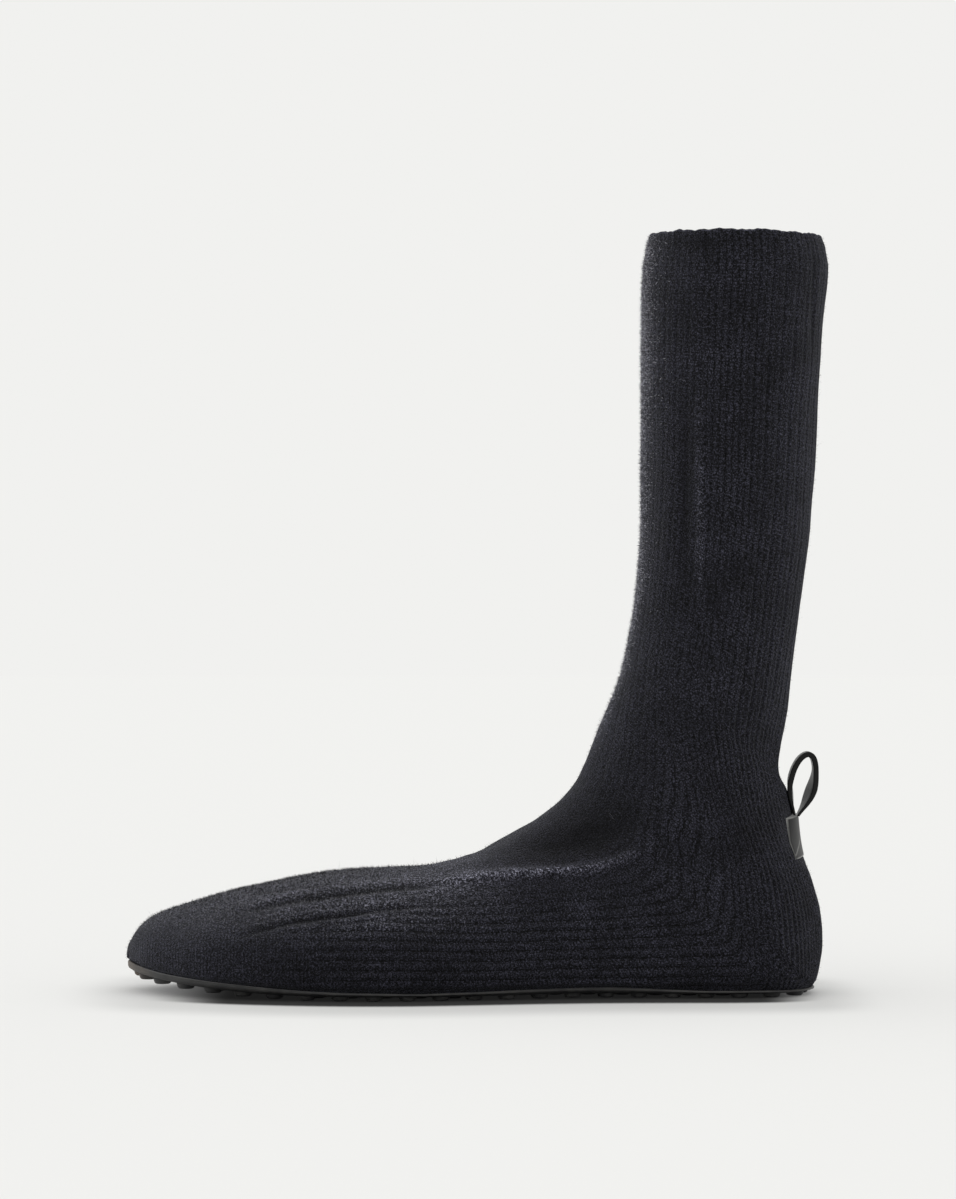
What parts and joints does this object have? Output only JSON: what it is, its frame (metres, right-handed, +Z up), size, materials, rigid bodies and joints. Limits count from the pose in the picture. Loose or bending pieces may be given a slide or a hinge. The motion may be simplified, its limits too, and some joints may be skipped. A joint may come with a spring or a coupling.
{
  "type": "knit sock boot",
  "caption": "Calf-high sock boot knitted in black ribs, with a thin pebbled rubber sole, a leather tab on the heel and a leather pull loop above it.",
  "frame": {"origin": "on the floor, under the middle of the shoe's bounding box", "axes": "+Z up the shaft, -X towards the toe, +Y towards the inner side of the left foot"},
  "size_m": [0.2608, 0.092, 0.2812],
  "materials": {
    "knit": "black ribbed wool-blend knit, matt and slightly fuzzy",
    "sole_rubber": "satin black moulded rubber",
    "footbed": "black cloth-faced foam",
    "leather": "smooth black leather with a soft sheen"
  },
  "bodies": {
    "root": {"upper": "knit", "outsole": "sole_rubber", "insole": "footbed", "heel_tab": "leather", "pull_loop": "leather"}
  },
  "joints": []
}
